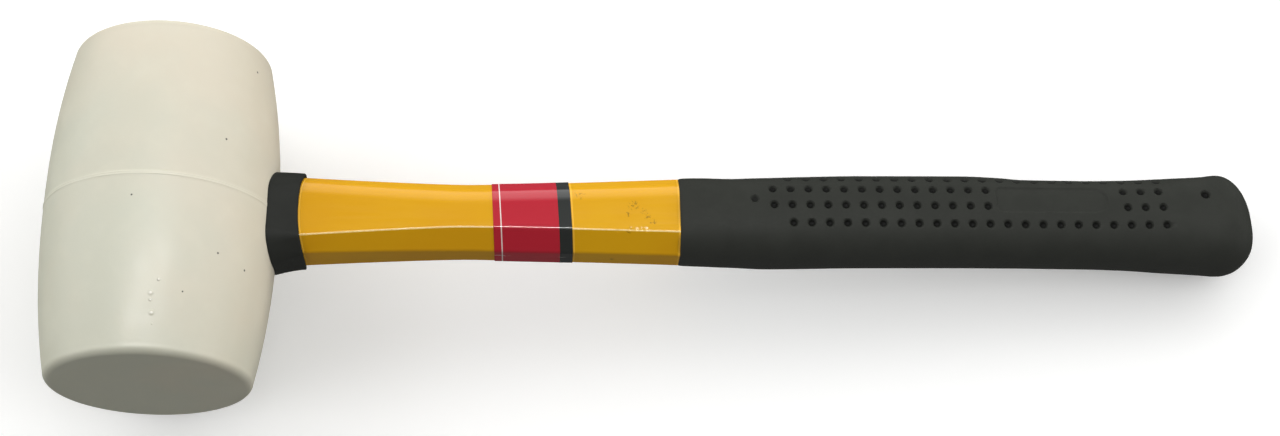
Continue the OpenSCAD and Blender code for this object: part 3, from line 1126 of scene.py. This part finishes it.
@dataclass
class Grip:
    """The dimpled rubber grip with its blank panel and flared butt."""

    jacket: Jacket
    start: float = 145.6
    length: float = 166.6
    swell_half_w: float = 13.05
    swell_half_h: float = 10.75
    squareness: float = 2.6
    flare: float = 1.11
    cap: float = 9.4
    cap_last: float = 84.0
    cap_power: float = 0.8
    cap_lean: float = 2.0
    # stretches with fine rings, from the grip's start
    textured: Point = (19.4, 140.2)
    pin_span: Point = (149.6, 153.4)
    fine_turn: float = 0.27
    wide_turn: float = 0.95
    pitch: float = 5.105
    row_slope: float = -0.0035
    # where the dimples start and stop, from the grip's start
    dimple_span: Point = (26.45, 139.4)
    # each row: where it starts after its reference, and its Y there
    front_rows: tuple[Point, ...] = ((0.0, 6.1), (0.2, 0.95))
    rear_rows: tuple[Point, ...] = ((4.8, 6.1), (5.5, 0.95))
    side_rows: tuple[Point, ...] = ((0.4, -4.5), (-0.4, 10.1))
    lead_dimple: Point = (-5.3, 2.8)
    # from the grip's start, Y, radius and depth
    mould_mark: tuple[float, float, float, float] = (151.45, 4.5, 1.4, 1.2)
    pit_from: float = 0.42
    dimple_r: float = 1.25
    dimple_depth: float = 1.05
    panel: tuple[float, float] = (252.35, 3.03)
    panel_length: float = 32.5
    panel_width: float = 8.2
    panel_depth: float = 0.4
    panel_edge: float = 0.3
    panel_corner_r: float = 1.6
    panel_margin: float = 2.3
    fine: float = 0.28
    finish: MouldedBlackRubber = field(
        default_factory=lambda: MouldedBlackRubber(name="moulded black grip rubber", black="#20221d")
    )

    def stations(self) -> np.ndarray:
        """Distance, width share, thickness share and sideways lean along the grip."""
        f = self.flare
        swollen = (1 + f) / 2 - 0.02
        rows = [(0.0, 0.925, 0.88, -0.2), (0.3 / self.length, 0.938, 0.905, -0.2),
                (1.9 / self.length, 0.948, 0.932, -0.2), (6.4 / self.length, 0.955, 0.95, -0.25),
                (0.0908, 0.96, 0.96, -0.5), (0.1412, 0.985, 0.985, -0.55), (0.2118, 0.995, 0.995, -0.3),
                (0.3126, 1.0, 1.0, 0.05), (0.4941, 1.0, 1.0, 0.15), (0.5597, 0.985, 0.985, -0.1),
                (0.6, 0.965, 0.97, -0.4), (0.7008, 0.965, 0.97, -0.6), (0.7765, 0.985, 0.985, -0.7),
                (0.8501, swollen, swollen, -0.8), (0.9156, f - 0.03, f - 0.03, -0.8),
                (1 - self.cap / self.length, f, f, -0.7)]
        return np.array([(self.start + share * self.length, *rest) for share, *rest in rows])

    def profile(self, xs: np.ndarray) -> np.ndarray:
        """Half width, half thickness and lean at each distance.

        Args:
            xs: Distances along the handle, in rising order.

        Returns:
            One row for each distance.
        """
        table = self.stations()
        body = np.minimum(xs, table[-1, 0])
        columns = [smooth_through(table[:, 0], table[:, k], body) for k in (1, 2, 3)]
        over = np.clip((xs - table[-1, 0]) / self.cap, 0, 1) * math.sin(math.radians(self.cap_last))
        shrink = np.cos(np.arcsin(over)) ** self.cap_power
        lean = columns[2] - self.cap_lean * over**2
        half_w = columns[0] * self.swell_half_w * shrink
        half_h = columns[1] * self.swell_half_h * shrink
        return np.column_stack([half_w, half_h, lean])

    def distances(self) -> np.ndarray:
        """Ring distances: close together where the grip is textured."""
        table = self.stations()
        cap = table[-1, 0]
        textured = (self.start + self.textured[0], self.start + self.textured[1])
        pin = (self.start + self.pin_span[0], self.start + self.pin_span[1])
        turns = np.radians(np.linspace(0, self.cap_last, 22))
        runs = [
            self.start + np.array([0.0, 0.12, 0.3, 0.7, 1.2, 1.9]),
            np.arange(self.start + 3, textured[0], 1.0),
            np.arange(*textured, self.fine),
            np.arange(textured[1], pin[0], 1.0),
            np.arange(*pin, self.fine),
            np.arange(pin[1], cap - 0.4, 0.9),
            cap + self.cap * np.sin(turns) / math.sin(turns[-1]),
        ]
        return np.concatenate(runs)

    def turns(self) -> np.ndarray:
        """Section angles: evenly close over the textured top, wider underneath."""
        fine = np.linspace(0, 2 * math.pi, 4001)
        yz = self.superellipse(fine, self.swell_half_w, self.swell_half_h)
        step = np.linalg.norm(np.diff(yz, axis=0), axis=1)
        middle = (fine[1:] + fine[:-1]) / 2
        top = (np.sin(middle) > -0.12)
        density = np.where(top, 1 / self.fine_turn, 1 / self.wide_turn)
        travel = np.concatenate([[0], np.cumsum(step * density)])
        count = int(travel[-1])
        return np.interp(np.arange(count) * travel[-1] / count, travel, fine)

    def superellipse(self, turns: np.ndarray, a: float, h: float) -> np.ndarray:
        """Points of the rounded section with half sizes a and h."""
        c, s = np.cos(turns), np.sin(turns)
        power = 2 / self.squareness
        return np.column_stack([a * np.sign(c) * np.abs(c) ** power, h * np.sign(s) * np.abs(s) ** power])

    def marks(self) -> list[Mark]:
        """Every dimple, and the round mould mark near the butt."""
        marks: list[Mark] = []
        first, last = (self.start + v for v in self.dimple_span)
        panel_end = self.panel[0] + self.panel_length / 2
        ahead = panel_end - self.panel_length - self.panel_margin

        def row(x: float, stop: float, y: float) -> None:
            """Adds one row of dimples from x to stop, at y where the rows begin."""
            while x <= stop:
                lean = self.row_slope * (x - first)
                marks.append(Mark(x, y + lean, self.dimple_r, self.dimple_depth))
                x += self.pitch

        for after, y in self.front_rows:
            row(first + after, ahead, y)
        for after, y in self.rear_rows:
            row(panel_end + after, last, y)
        for after, y in self.side_rows:
            row(first + after + self.pitch, last, y)
        after, y = self.lead_dimple
        marks.append(Mark(first + after, y, self.dimple_r, 0.8 * self.dimple_depth))
        after, *rest = self.mould_mark
        marks.append(Mark(self.start + after, *rest))
        return marks

    def surface_z(self, x: float, y: float) -> float:
        """Height of the grip's upper surface at a point."""
        a, h, lean = self.profile(np.array([x]))[0]
        inside = max(1 - abs((y - lean) / a) ** self.squareness, 0)
        return float(h * inside ** (1 / self.squareness))

    def sunk(self, points: np.ndarray) -> np.ndarray:
        """How deep the texture sinks each point of the outer surface.

        Args:
            points: One x, y, z row per point, on the plain surface.

        Returns:
            One depth per point, in millimetres.
        """
        depth = np.zeros(len(points))
        for mark in self.marks():
            near = np.abs(points[:, 0] - mark.x) < mark.radius * 1.5
            middle = np.array([mark.x, mark.y, self.surface_z(mark.x, mark.y)])
            gap = np.linalg.norm(points[near] - middle, axis=1) / mark.radius
            bowl = mark.depth * np.clip(1 - gap**3, 0, 1) ** 0.7
            depth[near] = np.maximum(depth[near], bowl)
        # the panel is square-cornered at its near end and round at its far end
        x, y = points[:, 0] - self.panel[0], points[:, 1] - self.panel[1]
        corner = np.where(x < 0, self.panel_corner_r, self.panel_width / 2)
        ahead = np.maximum(np.abs(x) - self.panel_length / 2 + corner, 0)
        aside = np.maximum(np.abs(y) - self.panel_width / 2 + corner, 0)
        gap = np.hypot(ahead, aside) - corner
        pocket = np.clip(-gap / self.panel_edge, 0, 1) * self.panel_depth * (points[:, 2] > 0)
        return np.maximum(depth, pocket)

    def build(self) -> bpy.types.Object:
        """Lofts the grip over its cavity and sinks the texture into it."""
        xs, turns = self.distances(), self.turns()
        profile = self.profile(xs)
        outer = np.array([
            ring(x, self.superellipse(turns, a, h) + [lean, 0]) for x, (a, h, lean) in zip(xs, profile)
        ])
        across = np.roll(outer, -1, axis=1) - np.roll(outer, 1, axis=1)
        along = np.gradient(outer, axis=0)
        normal = np.cross(across, along)
        normal /= np.linalg.norm(normal, axis=2, keepdims=True) + 1e-12
        flat = outer.reshape(-1, 3)
        sunk = self.sunk(flat)
        outer = (flat - normal.reshape(-1, 3) * sunk[:, None]).reshape(outer.shape)
        bar = obround_at(angles_of(outer[0][:, 1:]), self.jacket.bar_half_w, self.jacket.bar_half_h)
        rings = [ring(self.jacket.bar_end, bar), ring(self.start, bar)] + list(outer)
        piece = skin("hand_grip", rings, sharp=50)
        # how far down a sunk mark each point lies, for the finish's painted shade
        share = np.zeros(len(piece.data.vertices))
        deep = np.clip(sunk / self.dimple_depth - self.pit_from, 0, 1) / (1 - self.pit_from)
        share[2 * len(turns):(2 + len(xs)) * len(turns)] = deep
        piece.data.attributes.new(PIT_SHADE, "FLOAT", "POINT").data.foreach_set("value", share)
        return piece


def smooth_through(xs: np.ndarray, ys: np.ndarray, at: np.ndarray) -> np.ndarray:
    """A smooth curve through points that never overshoots them.

    Args:
        xs: Places of the points, rising.
        ys: Their values.
        at: Places to read.

    Returns:
        One value for each place read.
    """
    step = np.diff(xs)
    slope = np.diff(ys) / step
    tangent = np.zeros(len(xs))
    agree = slope[1:] * slope[:-1] > 0
    tangent[1:-1][agree] = (2 * slope[1:] * slope[:-1] / (slope[1:] + slope[:-1] + 1e-12))[agree]
    i = np.clip(np.searchsorted(xs, at) - 1, 0, len(step) - 1)
    t = (at - xs[i]) / step[i]
    return (
        ys[i] * (1 + 2 * t) * (1 - t) ** 2
        + ys[i + 1] * t**2 * (3 - 2 * t)
        + step[i] * t * (1 - t) * (tangent[i] * (1 - t) - tangent[i + 1] * t)
    )


# ------------------------------------------------------------------ studio


@dataclass(frozen=True)
class Softbox:
    """One rectangular lamp: where it hangs over the mallet, and its size and power."""

    name: str
    place: tuple[float, float, float]
    size: tuple[float, float]
    power: float
    gloss_only: bool = False


@dataclass
class Studio:
    """The floor, the lamps, the room and the camera."""

    middle: Vector
    lens: float = 53.283
    distance: float = 0.54645
    elevation: float = 66.739
    azimuth: float = 0.391
    roll: float = -0.9146
    # the point aimed at, from the middle of the head
    aim: tuple[float, float, float] = (0.1345, 0.00255, -0.0125)
    wall: str = "#ffffff"
    wall_strength: float = 2.1
    ceiling_strength: float = 0.27
    ground_strength: float = 0.12
    right_gain: float = 0.06
    # sines of the angles between which the walls fade: into the dark front, and up to the ceiling
    front_fade: tuple[float, float] = (-0.7, -0.4)
    ceiling_fade: tuple[float, float] = (0.67, 0.87)
    floor_half: float = 3.0
    softboxes: tuple[Softbox, ...] = (
        Softbox("overhead", (0.03, 0.05, 1.25), (0.16, 0.16), 0.25),
        Softbox("strip", (-0.03, 0.09, 1.25), (0.95, 0.03), 18.0, gloss_only=True),
    )

    def floor(self) -> None:
        """Lays a pale floor under the mallet."""
        half = self.floor_half
        mesh = bpy.data.meshes.new("floor")
        corners = [(-half, -half, 0), (half, -half, 0), (half, half, 0), (-half, half, 0)]
        mesh.from_pydata(corners, [], [(0, 1, 2, 3)])
        mesh.materials.append(PaleTable().material())
        sheet = bpy.data.objects.new("floor", mesh)
        bpy.context.scene.collection.objects.link(sheet)
        sheet.visible_diffuse = False
        sheet.visible_glossy = False

    def lamps(self) -> None:
        """Hangs the softboxes, all facing the mallet."""
        for box in self.softboxes:
            lamp = bpy.data.lights.new(box.name, "AREA")
            lamp.shape = "RECTANGLE"
            lamp.size, lamp.size_y = box.size
            lamp.energy = box.power
            holder = bpy.data.objects.new(box.name, lamp)
            bpy.context.scene.collection.objects.link(holder)
            holder.location = box.place
            holder.rotation_euler = (-Vector(box.place)).to_track_quat("-Z", "Y").to_euler()
            holder.visible_diffuse = not box.gloss_only

    def room(self) -> None:
        """Lights the room with pale walls at the left, right and back, and a dim ceiling."""
        world = bpy.data.worlds.new("room")
        world.use_nodes = True
        tree = world.node_tree
        glow = tree.nodes["Background"]
        axes = add(tree, "SeparateXYZ", links={0: add(tree, "TexCoord").outputs["Generated"]}).outputs
        sides = remap(tree, axes["Y"], *self.front_fade)
        rise = remap(tree, axes["Z"], *self.ceiling_fade, self.wall_strength, self.ceiling_strength)
        level = calc(tree, "MULTIPLY", sides, rise)
        level = calc(tree, "MULTIPLY", level, calc(tree, "MULTIPLY_ADD", axes["X"], self.right_gain, 1.0))
        level = calc(tree, "MULTIPLY", level, calc(tree, "GREATER_THAN", axes["Z"], 0.0))
        level = calc(tree, "MAXIMUM", level, self.ground_strength)
        plug(tree, glow, {"Color": linear(self.wall)}, {"Strength": level})
        bpy.context.scene.world = world

    def camera(self) -> None:
        """Sets the camera over the near side of the mallet."""
        rise, turn, tilt = (math.radians(v) for v in (self.elevation, self.azimuth, self.roll))
        ahead = Vector((math.sin(turn) * math.cos(rise), math.cos(turn) * math.cos(rise), -math.sin(rise)))
        level = ahead.cross(Vector((0, 0, 1))).normalized()
        upright = level.cross(ahead)
        right = level * math.cos(tilt) + upright * math.sin(tilt)
        up = right.cross(ahead)
        lens = bpy.data.cameras.new("camera")
        lens.lens, lens.sensor_width, lens.sensor_fit = self.lens, 36.0, "HORIZONTAL"
        lens.clip_start, lens.clip_end = 0.01, 50.0
        viewer = bpy.data.objects.new("camera", lens)
        bpy.context.scene.collection.objects.link(viewer)
        turned = Matrix((right, up, -ahead)).transposed().to_4x4()
        stand = self.middle + Vector(self.aim) - ahead * self.distance
        viewer.matrix_world = Matrix.Translation(stand) @ turned
        bpy.context.scene.camera = viewer

    def build(self) -> None:
        """Sets up everything that isn't part of the mallet."""
        self.floor()
        self.lamps()
        self.room()
        self.camera()
        bpy.context.scene.view_settings.view_transform = "Standard"


# ------------------------------------------------------------------ main


def corners(box: tuple[Sequence[float], Sequence[float]]) -> list[list[float]]:
    """A box's two corners as plain lists."""
    return [[float(v) for v in corner] for corner in box]


def main() -> None:
    """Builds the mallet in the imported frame, dresses it and lights it."""
    logging.basicConfig(level=logging.INFO, format="%(name)s: %(message)s")
    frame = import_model()
    place = Placement.from_frame()
    LOG.info("handle drops %.2f degrees", math.degrees(place.droop))

    head = Head()
    jacket = Jacket()
    collar = Collar(head, jacket)
    label = Label(jacket)
    grip = Grip(jacket)
    pieces = (
        (head, "head", "head_rubber"),
        (jacket, "jacket", "jacket_plastic"),
        (collar, "collar", "black_rubber"),
        (label, "label", "label_film"),
        (grip, "grip", "grip_rubber"),
    )
    for part, node, slot in pieces:
        fit(part.build(), place, node, part.finish)
    for node, finish in (("eye_bond", CuredAdhesive()), ("core_rod", PultrudedGlassFibre())):
        kept = frame["nodes"][node]
        kept.data.materials.clear()
        kept.data.materials.append(finish.material())
        LOG.info("%s: kept from the frame", node)

    Studio(place.centre).build()


if __name__ == "__main__":
    main()
